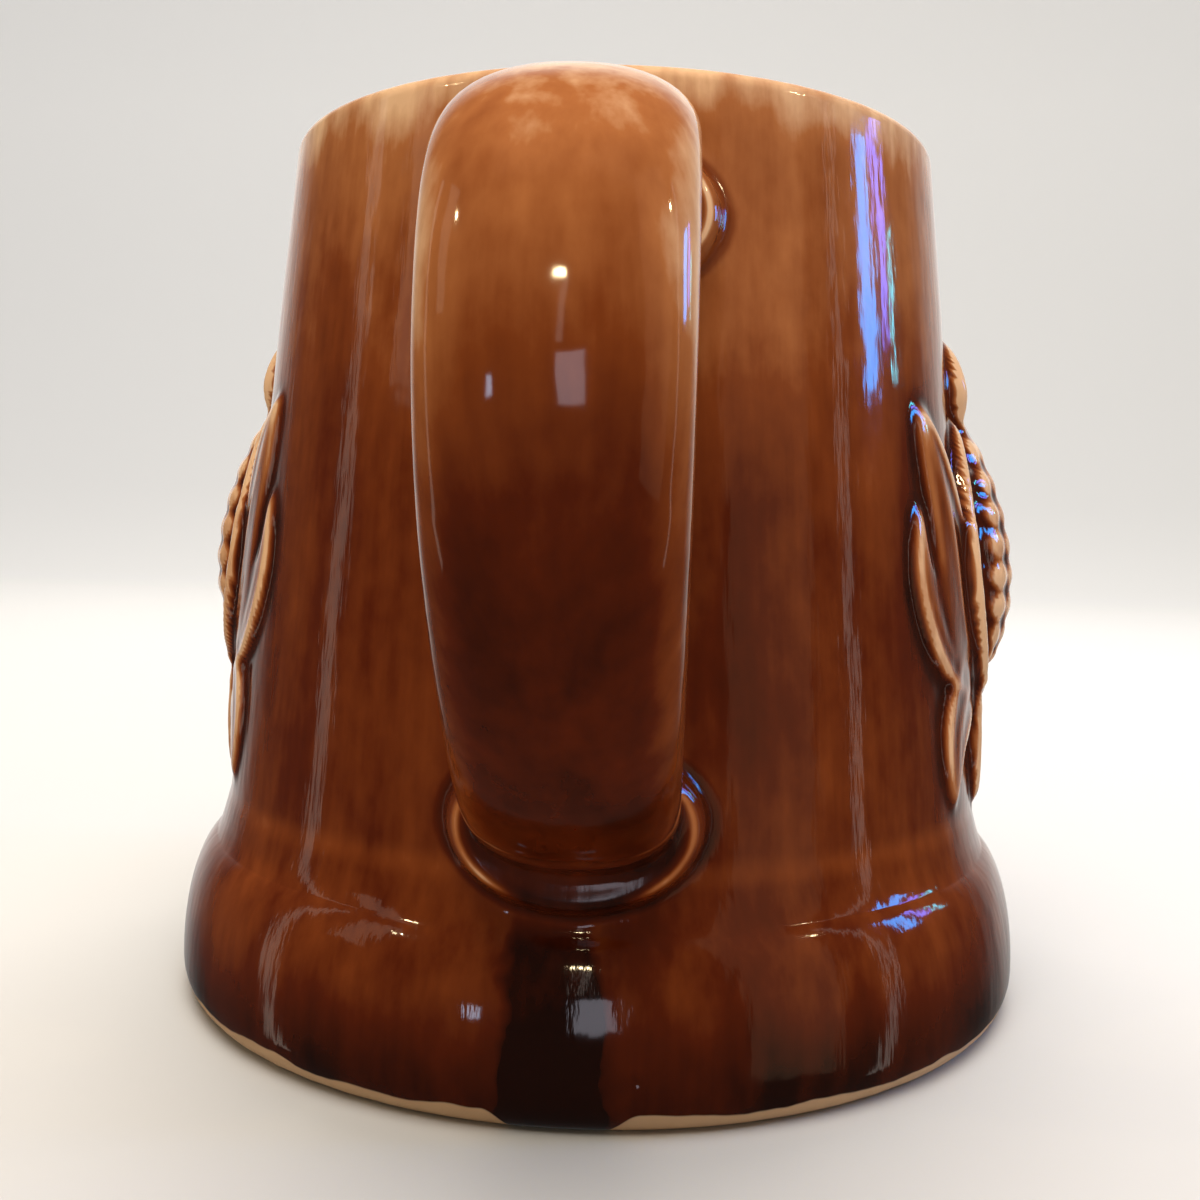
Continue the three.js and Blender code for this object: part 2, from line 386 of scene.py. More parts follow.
# Spins the half section clockwise, seen from above, from just behind the relief that faces +X
def turnBody():
    profile = bodyProfile()
    start = math.radians(body["turns"][0][1]) / 2
    along = Vector((math.cos(start), math.sin(start), 0))
    spots = [along * r * mm + Vector((0, 0, z * mm)) for r, z in profile]
    bpy.ops.mesh.primitive_plane_add(size=mm, location=(0, 0, 0))
    obj = startObject("mugGlazed")
    bpy.ops.object.mode_set(mode="EDIT")
    bpy.ops.mesh.select_all(action="SELECT")
    bpy.ops.mesh.merge(type="CENTER")
    bpy.ops.transform.translate(value=spots[0])
    for here, there in zip(spots, spots[1:]):
        bpy.ops.mesh.extrude_region_move(TRANSFORM_OT_translate={"value": there - here})
    bpy.ops.mesh.select_all(action="SELECT")
    for steps, sweep in body["turns"]:
        bpy.ops.mesh.spin(steps=steps, angle=math.radians(sweep), center=(0, 0, 0), axis=(0, 0, 1))
    bpy.ops.mesh.select_all(action="SELECT")
    bpy.ops.mesh.remove_doubles(threshold=body["closest"] * mm)
    bpy.ops.mesh.normals_make_consistent(inside=False)
    bpy.ops.object.mode_set(mode="OBJECT")
    return obj


# Relief forms are modelled lying flat: x across the ear, y up the mug, z proud of the wall


# From 0 at one end to 1 and back to 0 at the other
def swelling(v, skew, fullness):
    return np.sin(np.pi * np.clip(v, 0, 1) ** skew).clip(0) ** fullness


def earSurface(v, angle):
    outline = swelling(v, *ear["outline"])
    height = ear["base"] + v * (ear["tip"] - ear["base"])
    across, proud = ear["halfWidth"] * np.cos(angle), ear["rise"] * np.sin(angle)
    return np.array([across * outline, height, proud * outline])


def modelKernel():
    bpy.ops.mesh.primitive_cube_add(size=1)
    obj = startObject("kernel")
    bpy.ops.object.mode_set(mode="EDIT")
    bpy.ops.mesh.select_all(action="SELECT")
    bpy.ops.mesh.bevel(offset=ear["kernelBevel"], segments=3, affect="EDGES")
    bpy.ops.object.mode_set(mode="OBJECT")
    return obj


def modelEar():
    bpy.ops.mesh.primitive_uv_sphere_add(segments=40, ring_count=28, radius=1)
    core = startObject("earCore")
    unit = pointsOf(core)
    v = np.arccos(np.clip(-unit[:, 2], -1, 1)) / np.pi
    angle = np.arctan2(unit[:, 1], unit[:, 0])
    surface = earSurface(v, angle)
    movePoints(core, surface.T)
    kernel = modelKernel()
    fill = ear["kernelFill"]
    stepV, stepA = 0.5 / ear["rows"], 0.5 * math.pi / ear["columns"]
    pieces = [core]
    for row in range(ear["rows"]):
        for column in range(ear["columns"]):
            v = (row + 0.5) / ear["rows"]
            angle = math.pi * (column + 0.5) / ear["columns"]
            across = Vector(earSurface(v, angle - stepA) - earSurface(v, angle + stepA))
            along = Vector(earSurface(v + stepV, angle) - earSurface(v - stepV, angle))
            out = across.cross(along).normalized()
            side = across.normalized()
            up = out.cross(side)
            copy = kernel.copy()
            copy.data = kernel.data.copy()
            bpy.context.collection.objects.link(copy)
            spot = Vector(earSurface(v, angle)) + out * ear["kernelLift"]
            size = (across.length * fill, along.length * fill, ear["kernelDepth"])
            movePoints(copy, pointsOf(copy) * size @ np.array([side, up, out]) + np.array(spot))
            pieces.append(copy)
    bpy.data.objects.remove(kernel)
    return joinAll(pieces, "ear")


# Smooth curve through a few points, as a spline drawn by hand would run
def splineThrough(points, v):
    points = np.array(points, float)
    place = np.clip(v, 0, 1) * (len(points) - 1)
    index = np.clip(np.floor(place).astype(int), 0, len(points) - 2)
    f = (place - index)[..., None]
    before = points[np.maximum(index - 1, 0)]
    here, there = points[index], points[index + 1]
    after = points[np.minimum(index + 2, len(points) - 1)]
    tangentA, tangentB = (there - before) / 2, (after - here) / 2
    return ((2 * f**3 - 3 * f**2 + 1) * here + (f**3 - 2 * f**2 + f) * tangentA
            + (3 * f**2 - 2 * f**3) * there + (f**3 - f**2) * tangentB)


# Heights of a leaf's face at the places in leafFace, as shares of its rise
def leafHeights(rims):
    f = leafFace
    left, right = rims
    inLeft, inRight = (f["slope"] * rim + (1 - f["slope"]) * f["trough"] for rim in rims)
    return [0, f["edge"] * left, left, inLeft, f["trough"], f["beside"], f["rib"],
            f["beside"], f["trough"], inRight, right, f["edge"] * right, 0]


def modelLeaf(spine, halfWidth, rise, rims, name):
    columns, rows = leafFace["steps"]
    bpy.ops.mesh.primitive_grid_add(x_subdivisions=columns, y_subdivisions=rows, size=2)
    obj = startObject(name)
    unit = pointsOf(obj)
    u, v = unit[:, 0], (unit[:, 1] + 1) / 2
    v = leafFace["margin"] + (1 - 2 * leafFace["margin"]) * v
    middle = splineThrough(spine, v)
    step = 0.01
    forward = splineThrough(spine, v + step) - splineThrough(spine, v - step)
    forward /= np.linalg.norm(forward, axis=1)[:, None]
    outline = swelling(v, *leafFace["outline"])
    aside = u * halfWidth * outline
    across = middle[:, 0] + forward[:, 1] * aside
    height = middle[:, 1] - forward[:, 0] * aside
    face = np.interp(u, leafFace["across"], leafHeights(rims))
    veins = leafFace["vein"] * np.cos(2 * np.pi * leafFace["veins"] * u) * (1 - u**2)
    proud = rise * np.sqrt(outline) * (face + veins)
    movePoints(obj, np.stack([across, height, proud], 1))
    return obj


def modelRelief():
    pieces = [modelEar()]
    for leaf in leaves:
        for side in (1, -1):
            husk = modelLeaf(leaf["spine"], leaf["halfWidth"], leaf["rise"], leaf["rims"], "husk")
            movePoints(husk, pointsOf(husk) * (side, 1, 1))
            pieces.append(husk)
    for form in (silk, stalk):
        spine = [[0, form["base"]], [0, (form["base"] + form["tip"]) / 2], [0, form["tip"]]]
        pieces.append(modelLeaf(spine, form["halfWidth"], form["rise"], (1, 1), "tuft"))
    return joinAll(pieces, "relief")


# Soft average of a grid, spread over a few cells each way
def blurred(grid, spread):
    reach = int(3 * spread)
    bell = np.exp(-0.5 * (np.arange(-reach, reach + 1) / spread) ** 2)
    bell /= bell.sum()
    for axis in (0, 1):
        grid = np.apply_along_axis(lambda line: np.convolve(line, bell, mode="same"), axis, grid)
    return grid


# Drops a fine sheet onto the flat forms from above and returns the heights it takes, row by row
def drapeSheet(relief):
    low, high = body["reliefBand"]
    columns, rows = round(2 * sheet["half"] / sheet["cell"]), round((high - low) / sheet["cell"])
    bpy.ops.mesh.primitive_grid_add(x_subdivisions=columns, y_subdivisions=rows, size=1)
    cover = startObject("cover")
    unit = pointsOf(cover)
    order = np.lexsort(np.round((unit[:, :2] + 0.5) * (columns, rows)).T)
    movePoints(cover, unit * (2 * sheet["half"], high - low, 0) + (0, (low + high) / 2, sheet["drop"]))
    wrap = cover.modifiers.new("wrap", "SHRINKWRAP")
    wrap.target = relief
    wrap.wrap_method = "PROJECT"
    wrap.use_project_z = True
    wrap.use_positive_direction = False
    wrap.use_negative_direction = True
    applyModifiers(cover)
    heights = pointsOf(cover)[order, 2].reshape(rows + 1, columns + 1)
    bpy.data.objects.remove(cover)
    bpy.data.objects.remove(relief)
    metNothing = heights > sheet["drop"] - 1
    heights = np.where(metNothing, 0, heights).clip(0)
    return blurred(heights, sheet["soften"])


# Values of the sheet at places given by their distance from its middle and their height; places beyond
# its edge take the value there
def onSheet(grid, across, height):
    row = ((height - body["reliefBand"][0]) / sheet["cell"]).clip(0, grid.shape[0] - 1.01)
    column = ((across + sheet["half"]) / sheet["cell"]).clip(0, grid.shape[1] - 1.01)
    i, j = row.astype(int), column.astype(int)
    f, g = row - i, column - j
    lower = (1 - g) * grid[i, j] + g * grid[i, j + 1]
    upper = (1 - g) * grid[i + 1, j] + g * grid[i + 1, j + 1]
    return (1 - f) * lower + f * upper


# For each side's relief, the outer points it covers and how far round they lie from its middle
def reliefPlaces(points):
    x, y, z = points.T
    low, high = body["reliefBand"]
    outside = (z > low) & (z < high) & (np.hypot(x, y) > wallRadius(z) - sheet["skin"])
    for middle in (0, math.radians(leftEarTurn)):
        turn = (np.arctan2(y, x) - middle + math.pi) % (2 * math.pi) - math.pi
        across = turn * wallRadius(z)
        near = outside & (np.abs(across) < sheet["half"])
        yield near, across[near]


# Lays a flat form against the wall, its middle turned to an angle round the mug
def bendRound(obj, middle):
    across, height, proud = pointsOf(obj).T
    radius = wallRadius(height)
    turn = across / radius + middle
    reach = radius + proud
    movePoints(obj, np.stack([reach * np.cos(turn), reach * np.sin(turn), height], 1) * mm)


def raiseRelief(mug, heights):
    points = pointsOf(mug) / mm
    for near, across in reliefPlaces(points):
        height = points[near, 2]
        reach = np.hypot(points[near, 0], points[near, 1])
        grow = 1 + onSheet(heights, across, height) / reach
        points[near, :2] *= grow[:, None]
    movePoints(mug, points * mm)


# Smooth run through a few corner points, evenly stepped between each two
def smoothPath(corners, steps):
    corners = [Vector(corner) for corner in corners]
    corners = [2 * corners[0] - corners[1]] + corners + [2 * corners[-1] - corners[-2]]
    path = []
    for a, b, c, d in zip(corners, corners[1:], corners[2:], corners[3:]):
        before, here, after = ((q - p).length ** 0.5 for p, q in ((a, b), (b, c), (c, d)))
        leave = ((b - a) / before - (c - a) / (before + here) + (c - b) / here) * here
        arrive = ((c - b) / here - (d - b) / (here + after) + (d - c) / after) * here
        for f in np.arange(steps) / steps:
            rise, fall = 3 * f**2 - 2 * f**3, 2 * f**3 - 3 * f**2 + 1
            path.append(fall * b + rise * c + (f**3 - 2 * f**2 + f) * leave + (f**3 - f**2) * arrive)
    return np.array(path + [corners[-2]])


def handlePath():
    h = handle
    top, front, root = h["topHeight"], h["frontHeight"], h["rootHeight"]
    topReach = wallRadius(top) - h["sink"]
    rootReach = wallRadius(root) - h["sink"]
    share, rise = h["crown"]
    corners = [(topReach, top), (topReach + share * (h["reach"] - topReach), top + rise)]
    corners += [(h["reach"] - h["shoulder"][0], top - h["shoulder"][1]), (h["reach"], front)]
    corners += [(h["reach"] - inward, front - down * (front - root)) for inward, down in h["grip"]]
    corners += [(rootReach + h["heel"][0], root + h["heel"][1]), (rootReach, root)]
    return smoothPath(corners, h["stepsEach"])


def modelHandle():
    h = handle
    path = handlePath()
    bpy.ops.object.select_all(action="DESELECT")
    bpy.ops.mesh.primitive_circle_add(vertices=h["sides"], radius=1, fill_type="NGON")
    obj = startObject("handle")
    bpy.ops.object.mode_set(mode="EDIT")
    bpy.ops.mesh.select_all(action="SELECT")
    for _ in path[1:]:
        bpy.ops.mesh.extrude_region_move(TRANSFORM_OT_translate={"value": (0, 0, 1)})
    bpy.ops.object.mode_set(mode="OBJECT")
    unit = pointsOf(obj)
    ring = np.round(unit[:, 2]).astype(int)
    along = np.gradient(path, axis=0)
    along /= np.linalg.norm(along, axis=1)[:, None]
    outward = np.stack([-along[:, 1], along[:, 0]], 1)
    square = np.sign(unit[:, :2]) * np.abs(unit[:, :2]) ** (2 / h["squareness"])
    across = square[:, 0] * h["width"] / 2
    spot = path[ring] + outward[ring] * square[:, 1:] * h["thickness"] / 2
    movePoints(obj, np.stack([across, -spot[:, 0], spot[:, 1]], 1) * mm)
    turnOutwards(obj)
    return obj


def modelCollar(height, halfHeight):
    bpy.ops.object.select_all(action="DESELECT")
    bpy.ops.mesh.primitive_uv_sphere_add(segments=64, ring_count=24, radius=1)
    obj = startObject("collar")
    x, y, lift = pointsOf(obj).T
    around = np.arctan2(y, x)
    v = np.arccos(np.clip(lift, -1, 1)) / np.pi
    reach = swelling(v, 1, handle["collarFullness"])
    halfWidth = handle["width"] / 2 + handle["collarSpread"]
    face = np.interp(v, handle["collarRun"], handle["collarFace"])
    proud = np.where(lift > 0, handle["collarThickness"] * face, handle["sink"] * lift)
    flat = [halfWidth * reach * np.cos(around), height + halfHeight * reach * np.sin(around), proud]
    movePoints(obj, np.stack(flat, 1))
    bendRound(obj, -math.pi / 2)
    turnOutwards(obj)
    return obj


def selectPoints(obj, chosen):
    selectOnly(obj)
    bpy.ops.object.mode_set(mode="EDIT")
    bpy.ops.mesh.select_mode(type="VERT")
    bpy.ops.mesh.select_all(action="DESELECT")
    bpy.ops.object.mode_set(mode="OBJECT")
    obj.data.vertices.foreach_set("select", chosen)
    bpy.ops.object.mode_set(mode="EDIT")


# Which points of a zone lie on edges sharper than an angle
def sharpPoints(obj, zone, angle):
    selectPoints(obj, zone)
    bpy.ops.mesh.hide(unselected=True)
    bpy.ops.mesh.select_all(action="DESELECT")
    bpy.ops.mesh.select_mode(type="EDGE")
    bpy.ops.mesh.edges_select_sharp(sharpness=math.radians(angle))
    bpy.ops.mesh.select_mode(type="VERT")
    bpy.ops.object.mode_set(mode="OBJECT")
    chosen = np.zeros(len(obj.data.vertices), bool)
    obj.data.vertices.foreach_get("select", chosen)
    bpy.ops.object.mode_set(mode="EDIT")
    bpy.ops.mesh.reveal(select=False)
    bpy.ops.object.mode_set(mode="OBJECT")
    return chosen & zone


# Which points lie round the roots of the handle
def nearRoots(points):
    h = handle
    x, y, z = points.T
    proud = np.hypot(x, y) - wallRadius(z)
    fromRoot = np.min([np.hypot(x, z - root) for root in (h["topHeight"], h["rootHeight"])], axis=0)
    return (y < 0) & (fromRoot < h["width"]) & (np.abs(proud) < h["joinDepth"])


# Fuses the handle and its collars to the body, and runs the glaze smoothly into the joins
def joinHandle(mug):
    h = handle
    halfHeight = h["thickness"] / 2 + h["collarSpread"]
    collars = [modelCollar(root, halfHeight) for root in (h["topHeight"], h["rootHeight"])]
    for piece in collars + [modelHandle()]:
        union = mug.modifiers.new("union", "BOOLEAN")
        union.operation = "UNION"
        union.solver = "EXACT"
        union.object = piece
        applyModifiers(mug)
        bpy.data.objects.remove(piece)
    selectPoints(mug, nearRoots(pointsOf(mug) / mm))
    bpy.ops.mesh.remove_doubles(threshold=h["closest"] * mm)
    bpy.ops.object.mode_set(mode="OBJECT")
    points = pointsOf(mug) / mm
    zone = nearRoots(points)
    seam = points[sharpPoints(mug, zone, h["seamAngle"])]
    tree = KDTree(len(seam))
    for index, point in enumerate(seam):
        tree.insert(point, index)
    tree.balance()
    distance = np.full(len(points), np.inf)
    for index in np.nonzero(zone)[0]:
        distance[index] = tree.find(points[index])[2]
    group = mug.vertex_groups.new(name="seam")
    for index in np.nonzero(distance < h["seamBlend"])[0]:
        group.add([int(index)], 1 - distance[index] / h["seamBlend"], "REPLACE")
    melt = mug.modifiers.new("meltSeam", "SMOOTH")
    melt.factor = h["meltFactor"]
    melt.iterations = h["meltRounds"]
    melt.vertex_group = "seam"
    applyModifiers(mug)


# How deep the molten glaze lies at each point: above 0 where it pooled, below 0 where it ran thin
def markGlazeDepth(mug, heights):
    points = pointsOf(mug) / mm
    depth = np.zeros(len(points))
    for spread, weight in zip(glaze["spreads"], glaze["weights"]):
        level = blurred(heights, spread / sheet["cell"]) - heights
        for near, across in reliefPlaces(points):
            depth[near] += weight * onSheet(level, across, points[near, 2])
    mark = mug.data.attributes.new("glazeDepth", "FLOAT", "POINT")
    mark.data.foreach_set("value", np.clip(depth, *glaze["pooledRange"]))


def addNode(tree, kind, **settings):
    node = tree.nodes.new("ShaderNode" + kind)
    for name, value in settings.items():
        if name.startswith("input"):
            node.inputs[int(name[5:])].default_value = value
        else:
            setattr(node, name, value)
    return node


def wire(tree, source, target):
    tree.links.new(source, target)


def compute(tree, operation, first, second, third=None):
    node = addNode(tree, "Math", operation=operation)
    for socket, value in zip(node.inputs, (first, second, third)):
        if isinstance(value, (int, float)):
            socket.default_value = value
        elif value is not None:
            wire(tree, value, socket)
    return node.outputs[0]


def plus(tree, first, second):
    return compute(tree, "ADD", first, second)


def times(tree, first, second):
    return compute(tree, "MULTIPLY", first, second)


# How far a value lies from a middle, to either side
def apart(tree, value, middle):
    return compute(tree, "ABSOLUTE", compute(tree, "SUBTRACT", value, middle), 0)


# Share from 0 to 1 as a value passes from one limit to the other
def fade(tree, value, start, end):
    node = addNode(tree, "MapRange", interpolation_type="SMOOTHSTEP", input1=start, input2=end)
    wire(tree, value, node.inputs[0])
    return node.outputs[0]


# Soft noise that goes up to half its strength above and below 0
def cloud(tree, place, scale, detail, strength):
    squeeze = addNode(tree, "VectorMath", operation="MULTIPLY", input1=scale)
    noise = addNode(tree, "TexNoise", input2=1.0, input3=detail)
    wire(tree, place, squeeze.inputs[0])
    wire(tree, squeeze.outputs[0], noise.inputs["Vector"])
    return times(tree, compute(tree, "SUBTRACT", noise.outputs[0], 0.5), strength)


def partsOf(tree, place):
    split = addNode(tree, "SeparateXYZ")
    wire(tree, place, split.inputs[0])
    return tuple(split.outputs)


# A node group that works out one value from inputs given by name and kind
def newGroup(name, inputs, output):
    tree = bpy.data.node_groups.new(name, "ShaderNodeTree")
    for socket, kind in inputs.items():
        tree.interface.new_socket(socket, in_out="INPUT", socket_type="NodeSocket" + kind)
    tree.interface.new_socket(output, in_out="OUTPUT", socket_type="NodeSocketFloat")
    return tree, tree.nodes.new("NodeGroupInput"), tree.nodes.new("NodeGroupOutput")


def placeGroup(tree, group, **links):
    node = addNode(tree, "Group", node_tree=group)
    for name, source in links.items():
        wire(tree, source, node.inputs[name])
    return node.outputs[0]


# How far a point stands out from the wall, in millimetres
def standProud(tree, place, z):
    flat = addNode(tree, "VectorMath", operation="MULTIPLY", input1=(1, 1, 0))
    length = addNode(tree, "VectorMath", operation="LENGTH")
    wire(tree, place, flat.inputs[0])
    wire(tree, flat.outputs[0], length.inputs[0])
    wall = compute(tree, "MULTIPLY_ADD", z, -wallSlope, wallRadius(0))
    return compute(tree, "SUBTRACT", length.outputs["Value"], wall)


# 1 on the outer face of the mug's front half, 0 behind and in the cavity
def outerFront(tree, proud, y):
    return times(tree, fade(tree, proud, *glaze["outside"]), compute(tree, "LESS_THAN", y, 0))


# On the handle the glaze breaks thin along both edges, and its lower half is darkened as painted shade,
# for light falling from above
def handleRunAndShade(tree, place, x, z):
    g = handleGlazeAndShade
    onHandle = fade(tree, standProud(tree, place, z), *g["proud"])
    edges = times(tree, fade(tree, apart(tree, x, 0), *g["edges"]), fade(tree, z, *g["edgeTop"]))
    thin = compute(tree, "MULTIPLY_ADD", edges, g["edgeDepth"], g["depth"])
    lower = fade(tree, z, *g["lower"])
    return times(tree, onHandle, compute(tree, "MULTIPLY_ADD", lower, g["lowerShade"], thin))


# A painted dark reflection: the colour of deep glaze hanging down the foot below the handle
def paintedFootReflection(tree, place, x, y, z):
    g = footReflection
    across = plus(tree, x, cloud(tree, place, *g["waves"]))
    nearMiddle = fade(tree, apart(tree, across, g["middle"]), *g["sides"])
    outside = outerFront(tree, standProud(tree, place, z), y)
    low = times(tree, fade(tree, z, *g["below"]), g["depth"])
    return times(tree, times(tree, nearMiddle, outside), low)


# Distance from a handle root in half widths of its collar: 1 all along the collar's edge
def ovalAround(tree, x, z, root, halves):
    across = compute(tree, "DIVIDE", x, halves[0])
    up = compute(tree, "DIVIDE", compute(tree, "SUBTRACT", z, root), halves[1])
    squares = plus(tree, times(tree, across, across), times(tree, up, up))
    return compute(tree, "SQRT", squares, 0)


# Glaze round the handle roots: thin on the crest of each collar, partly a painted highlight, and deep and
# dark inside it and in the groove round it, partly painted shade
def collarPoolAndShadeGroup():
    tree, given, result = newGroup("collarRun", {"Place": "Vector"}, "Depth")
    place = given.outputs["Place"]
    x, y, z = partsOf(tree, place)
    proud = standProud(tree, place, z)
    near = times(tree, fade(tree, proud, *collarPoolAndShade["near"]), outerFront(tree, proud, y))
    fromMiddle = apart(tree, x, 0)
    spread = handle["collarSpread"]
    halves = (handle["width"] / 2 + spread, handle["thickness"] / 2 + spread)
    total = 0.0
    for root in (handle["topHeight"], handle["rootHeight"]):
        oval = ovalAround(tree, x, z, root, halves)
        well = times(tree, fade(tree, oval, *collarPoolAndShade["wellLimits"]), collarPoolAndShade["well"])
        total = plus(tree, well, total)
        for at, width, depth, start, full in collarPoolAndShade["lines"]:
            line = times(tree, fade(tree, apart(tree, oval, at), width, 0), depth)
            total = plus(tree, total, times(tree, line, fade(tree, fromMiddle, start, full)))
    wire(tree, times(tree, total, near), result.inputs[0])
    return tree


# Depth of the glaze from 0 at a bare edge to 1 in a pool, with painted light and shade added: lighter
# towards the top and on the rim, darker at the foot and on the handle's lower half, and a painted dark
# reflection on the foot; place is in millimetres
def glazeDepthAndLightGroup():
    tree, given, result = newGroup("glazeRunAndPaintedLight", {"Place": "Vector", "Pooled": "Float"}, "Depth")
    place = given.outputs["Place"]
    x, y, z = partsOf(tree, place)
    lip, crease = glaze["lip"], glaze["crease"]
    lipEdge = plus(tree, z, cloud(tree, place, *lip["waves"]))
    lipShare = fade(tree, lipEdge, body["height"] - lip["deep"], body["height"])
    fromCrease = apart(tree, z, body["creaseHeight"] + crease["above"])
    terms = [cloud(tree, place, *settings) for settings in glaze["clouds"]]
    terms += [times(tree, fade(tree, z, start, full), depth) for start, full, depth in glaze["paintedLightByHeight"]]
    terms.append(times(tree, lipShare, lip["depth"]))
    terms.append(times(tree, fade(tree, fromCrease, *crease["limits"]), crease["depth"]))
    terms += [paintedFootReflection(tree, place, x, y, z), handleRunAndShade(tree, place, x, z)]
    total = compute(tree, "MULTIPLY_ADD", given.outputs["Pooled"], glaze["pooled"], glaze["base"])
    for term in terms:
        total = plus(tree, total, term)
    wire(tree, total, result.inputs[0])
    return tree


# Bare clay of the foot: a wavy line a little above the table, dropped to the table in front where the
# painted dark reflection crosses it
def bareFootGroup():
    tree, given, result = newGroup("bareFoot", {"Place": "Vector"}, "Bare")
    place = given.outputs["Place"]
    x, y, z = partsOf(tree, place)
    across = fade(tree, apart(tree, x, bareClay["reflectionMiddle"]), *bareClay["reflectionSides"])
    underReflection = times(tree, across, compute(tree, "LESS_THAN", y, 0))
    line = plus(tree, cloud(tree, place, *bareClay["waves"]), bareClay["height"])
    line = compute(tree, "MULTIPLY_ADD", underReflection, bareClay["reflectionDrop"], line)
    wire(tree, fade(tree, compute(tree, "SUBTRACT", z, line), *bareClay["edge"]), result.inputs[0])
    return tree


# Face of the glaze: slow swells, vertical streaks down the wall and a burst bubble in the foot
def rippleGroup():
    g = rippleGlaze
    tree, given, result = newGroup("ripple", {"Place": "Vector"}, "Height")
    place = given.outputs["Place"]
    z = partsOf(tree, place)[2]
    fromPit = addNode(tree, "VectorMath", operation="DISTANCE", input1=g["pit"])
    wire(tree, place, fromPit.inputs[0])
    pit = fade(tree, fromPit.outputs["Value"], *g["pitEdge"])
    onWall = fade(tree, standProud(tree, place, z), *g["wall"])
    streaks = times(tree, cloud(tree, place, *g["streaks"]), onWall)
    swell = cloud(tree, place, *g["swell"])
    wire(tree, compute(tree, "SUBTRACT", plus(tree, swell, streaks), pit), result.inputs[0])
    return tree


# Colour of the glaze for its depth; a new ramp has two stops, and the others are added
def glazeRamp(tree, depth):
    ramp = addNode(tree, "ValToRGB")
    stops = ramp.color_ramp.elements
    for index, (position, colour) in enumerate(glaze["ramp"]):
        stop = stops[index] if index < 2 else stops.new(position)
        stop.position = position
        stop.color = (*colour, 1)
    wire(tree, depth, ramp.inputs[0])
    return ramp.outputs[0]


def makeGlaze():
    material = bpy.data.materials.new("brownGlaze")
    material.use_nodes = True
    tree = material.node_tree
    shader = tree.nodes["Principled BSDF"]
    toMillimetres = addNode(tree, "VectorMath", operation="SCALE")
    toMillimetres.inputs["Scale"].default_value = 1 / mm
    wire(tree, addNode(tree, "TexCoord").outputs["Object"], toMillimetres.inputs[0])
    place = toMillimetres.outputs[0]
    pooled = addNode(tree, "Attribute", attribute_name="glazeDepth").outputs["Fac"]
    collar = placeGroup(tree, collarPoolAndShadeGroup(), Place=place)
    glazeAndPaintedLight = placeGroup(tree, glazeDepthAndLightGroup(), Place=place, Pooled=pooled)
    bare = placeGroup(tree, bareFootGroup(), Place=place)
    skin = addNode(tree, "Mix", data_type="RGBA")
    wire(tree, bare, skin.inputs["Factor"])
    # The glaze colour carries painted light, shade, highlights and reflection through its depth, besides
    # real pooling, also round the handle roots
    wire(tree, glazeRamp(tree, plus(tree, glazeAndPaintedLight, collar)), skin.inputs[6])
    skin.inputs[7].default_value = (*glaze["clay"], 1)
    wire(tree, skin.outputs[2], shader.inputs["Base Color"])
    gloss = plus(tree, cloud(tree, place, *glaze["patches"]), glaze["roughness"])
    for part, dullness in ((bare, glaze["dullClay"]), (collar, glaze["dullPool"])):
        gloss = compute(tree, "MAXIMUM", gloss, times(tree, part, dullness))
    wire(tree, gloss, shader.inputs["Roughness"])
    shader.inputs["Specular IOR Level"].default_value = glaze["specular"]
    ripple = addNode(tree, "Bump")
    ripple.inputs["Strength"].default_value = rippleGlaze["strength"]
    ripple.inputs["Distance"].default_value = rippleGlaze["distance"]
    wire(tree, placeGroup(tree, rippleGroup(), Place=place), ripple.inputs["Height"])
    wire(tree, ripple.outputs[0], shader.inputs["Normal"])
    return material


# A matt pale floor that glows on its backdrop
def floorMaterial():
    material = bpy.data.materials.new("paleFloor")
    material.use_nodes = True
    tree = material.node_tree
    shader = tree.nodes["Principled BSDF"]
    shader.inputs["Base Color"].default_value = (*studio["floor"], 1)
    shader.inputs["Roughness"].default_value = studio["floorRoughness"]
    shader.inputs["Emission Color"].default_value = (*studio["glowColour"], 1)
    level, start, full = studio["glow"]
    y = partsOf(tree, addNode(tree, "TexCoord").outputs["Object"])[1]
    wire(tree, times(tree, fade(tree, y, start, full), level), shader.inputs["Emission Strength"])
    return material


# Square floor whose far edge is pulled up into the backdrop
def makeFloor():
    bpy.ops.object.select_all(action="DESELECT")
    bpy.ops.mesh.primitive_plane_add(size=studio["floorSize"], location=(0, 0, 0))
    floor = startObject("floor")
    selectOnly(floor)
    bpy.ops.object.mode_set(mode="EDIT")
    bpy.ops.mesh.select_all(action="DESELECT")
    bpy.ops.mesh.select_mode(type="EDGE")
    bpy.ops.object.mode_set(mode="OBJECT")
    for edge in floor.data.edges:
        edge.select = all(floor.data.vertices[v].co.y > 0 for v in edge.vertices)
    bpy.ops.object.mode_set(mode="EDIT")
    bpy.ops.mesh.extrude_region_move(TRANSFORM_OT_translate={"value": (0, 0, studio["backdrop"])})
    bpy.ops.mesh.select_all(action="SELECT")
    bpy.ops.mesh.bevel(offset=studio["backdropRound"], segments=12, affect="EDGES")
    bpy.ops.object.mode_set(mode="OBJECT")
    bpy.ops.object.shade_smooth()
    floor.data.materials.append(floorMaterial())
    floor.visible_glossy = False  # keeps its pale glare off the dark glaze


# Turn is measured from the front towards the mug's right, as seen by the camera
def directionTo(turn, climb):
    turn, climb = math.radians(turn), math.radians(climb)
    return Vector((math.sin(turn) * math.cos(climb), -math.cos(turn) * math.cos(climb), math.sin(climb)))


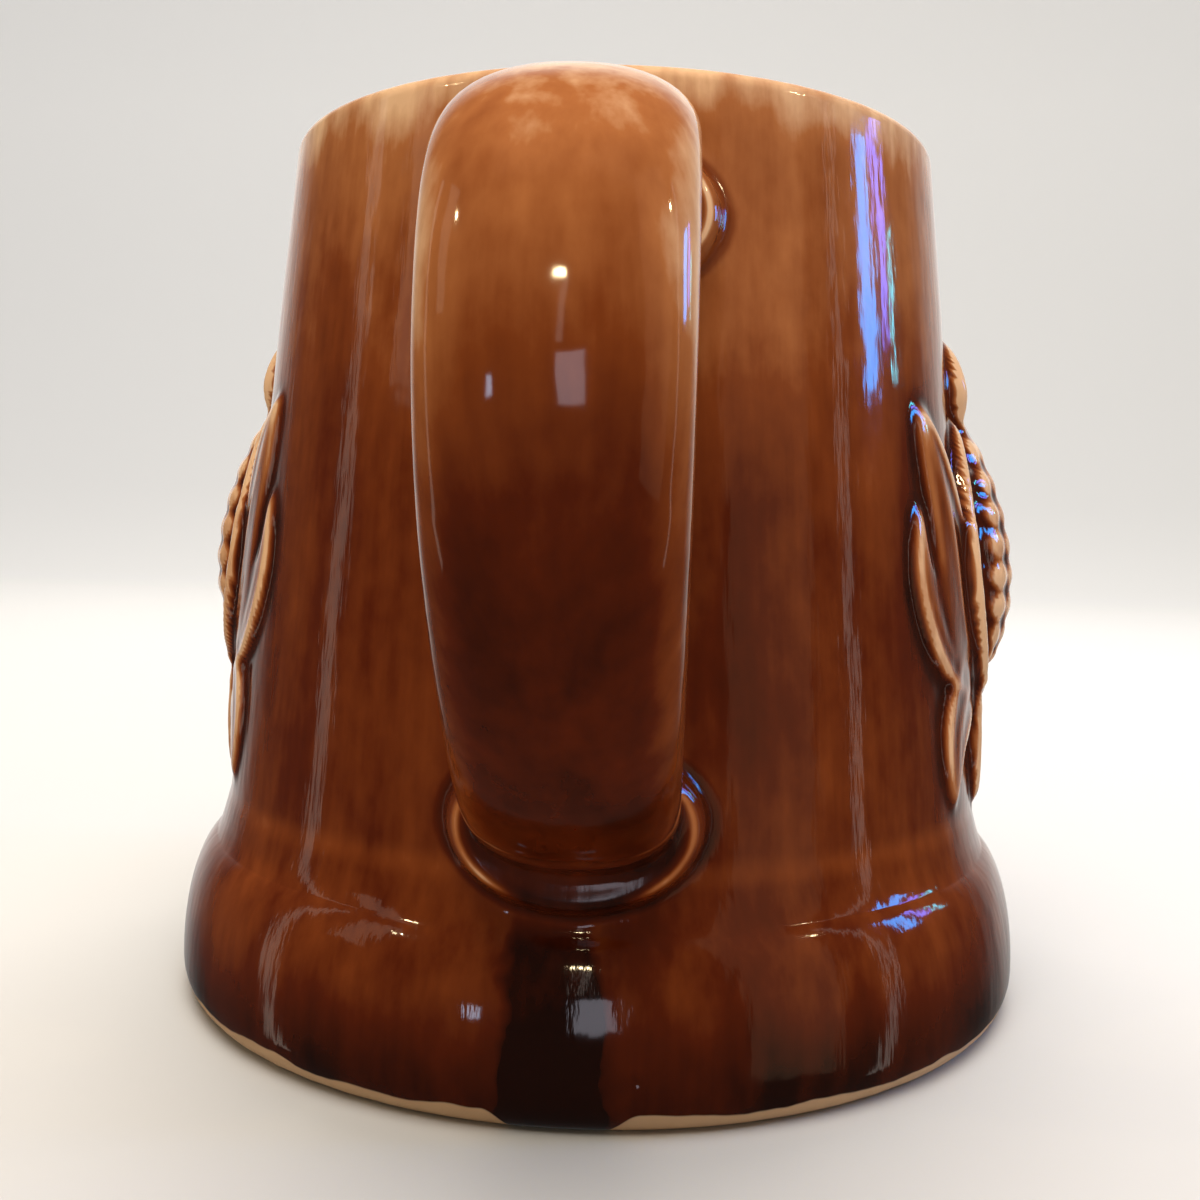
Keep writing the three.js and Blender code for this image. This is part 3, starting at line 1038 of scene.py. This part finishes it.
def makeLights():
    for name, (turn, climb, away, size, power, colour) in lamps.items():
        bpy.ops.object.light_add(type="AREA")
        light = bpy.context.object
        light.name = name
        toward = directionTo(turn, climb)
        light.location = Vector((0, 0, studio["aim"] * mm)) + toward * away
        light.rotation_euler = toward.to_track_quat("Z", "Y").to_euler()
        light.data.shape = "RECTANGLE"
        light.data.size, light.data.size_y = size
        light.data.energy = power
        light.data.color = colour
        light.visible_glossy = name not in studio["unseen"]
        light.visible_diffuse = name not in studio["glints"]


# A dim room that is bright behind the mug
def makeWorld():
    world = bpy.data.worlds.new("studio")
    world.use_nodes = True
    tree = world.node_tree
    background = tree.nodes["Background"]
    background.inputs["Color"].default_value = (*studio["world"], 1)
    x, y, z = partsOf(tree, addNode(tree, "TexCoord").outputs["Generated"])
    bright = times(tree, fade(tree, y, *studio["behind"]), fade(tree, z, *studio["above"]))
    strength = compute(tree, "MULTIPLY_ADD", bright, studio["worldBright"], studio["worldDim"])
    wire(tree, strength, background.inputs["Strength"])
    bpy.context.scene.world = world


def makeCamera():
    bpy.ops.object.camera_add()
    camera = bpy.context.object
    turn = Matrix.Rotation(math.radians(view["turn"] - view["yaw"]), 4, "Z")
    pitch = Matrix.Rotation(math.radians(90 - view["pitch"]), 4, "X")
    roll = Matrix.Rotation(math.radians(view["roll"]), 4, "Z")
    spot = directionTo(view["turn"], 0) * view["away"] * mm + Vector((0, 0, view["height"] * mm))
    camera.matrix_world = Matrix.Translation(spot) @ turn @ pitch @ roll
    camera.data.lens = view["lens"]
    camera.data.clip_start = 0.01
    bpy.context.scene.camera = camera
    bpy.context.scene.view_settings.view_transform = "Standard"


mug = turnBody()
print("body turned:", len(mug.data.vertices), "points")
heights = drapeSheet(modelRelief())
raiseRelief(mug, heights)
print("relief raised")
joinHandle(mug)
print("handle joined:", len(mug.data.vertices), "points")
markGlazeDepth(mug, heights)
mug.data.materials.clear()
mug.data.materials.append(makeGlaze())
selectOnly(mug)
bpy.ops.object.shade_smooth()
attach(mug, "root")
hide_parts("mug")
print("glaze made")

makeFloor()
makeLights()
makeWorld()
makeCamera()
print("studio set")
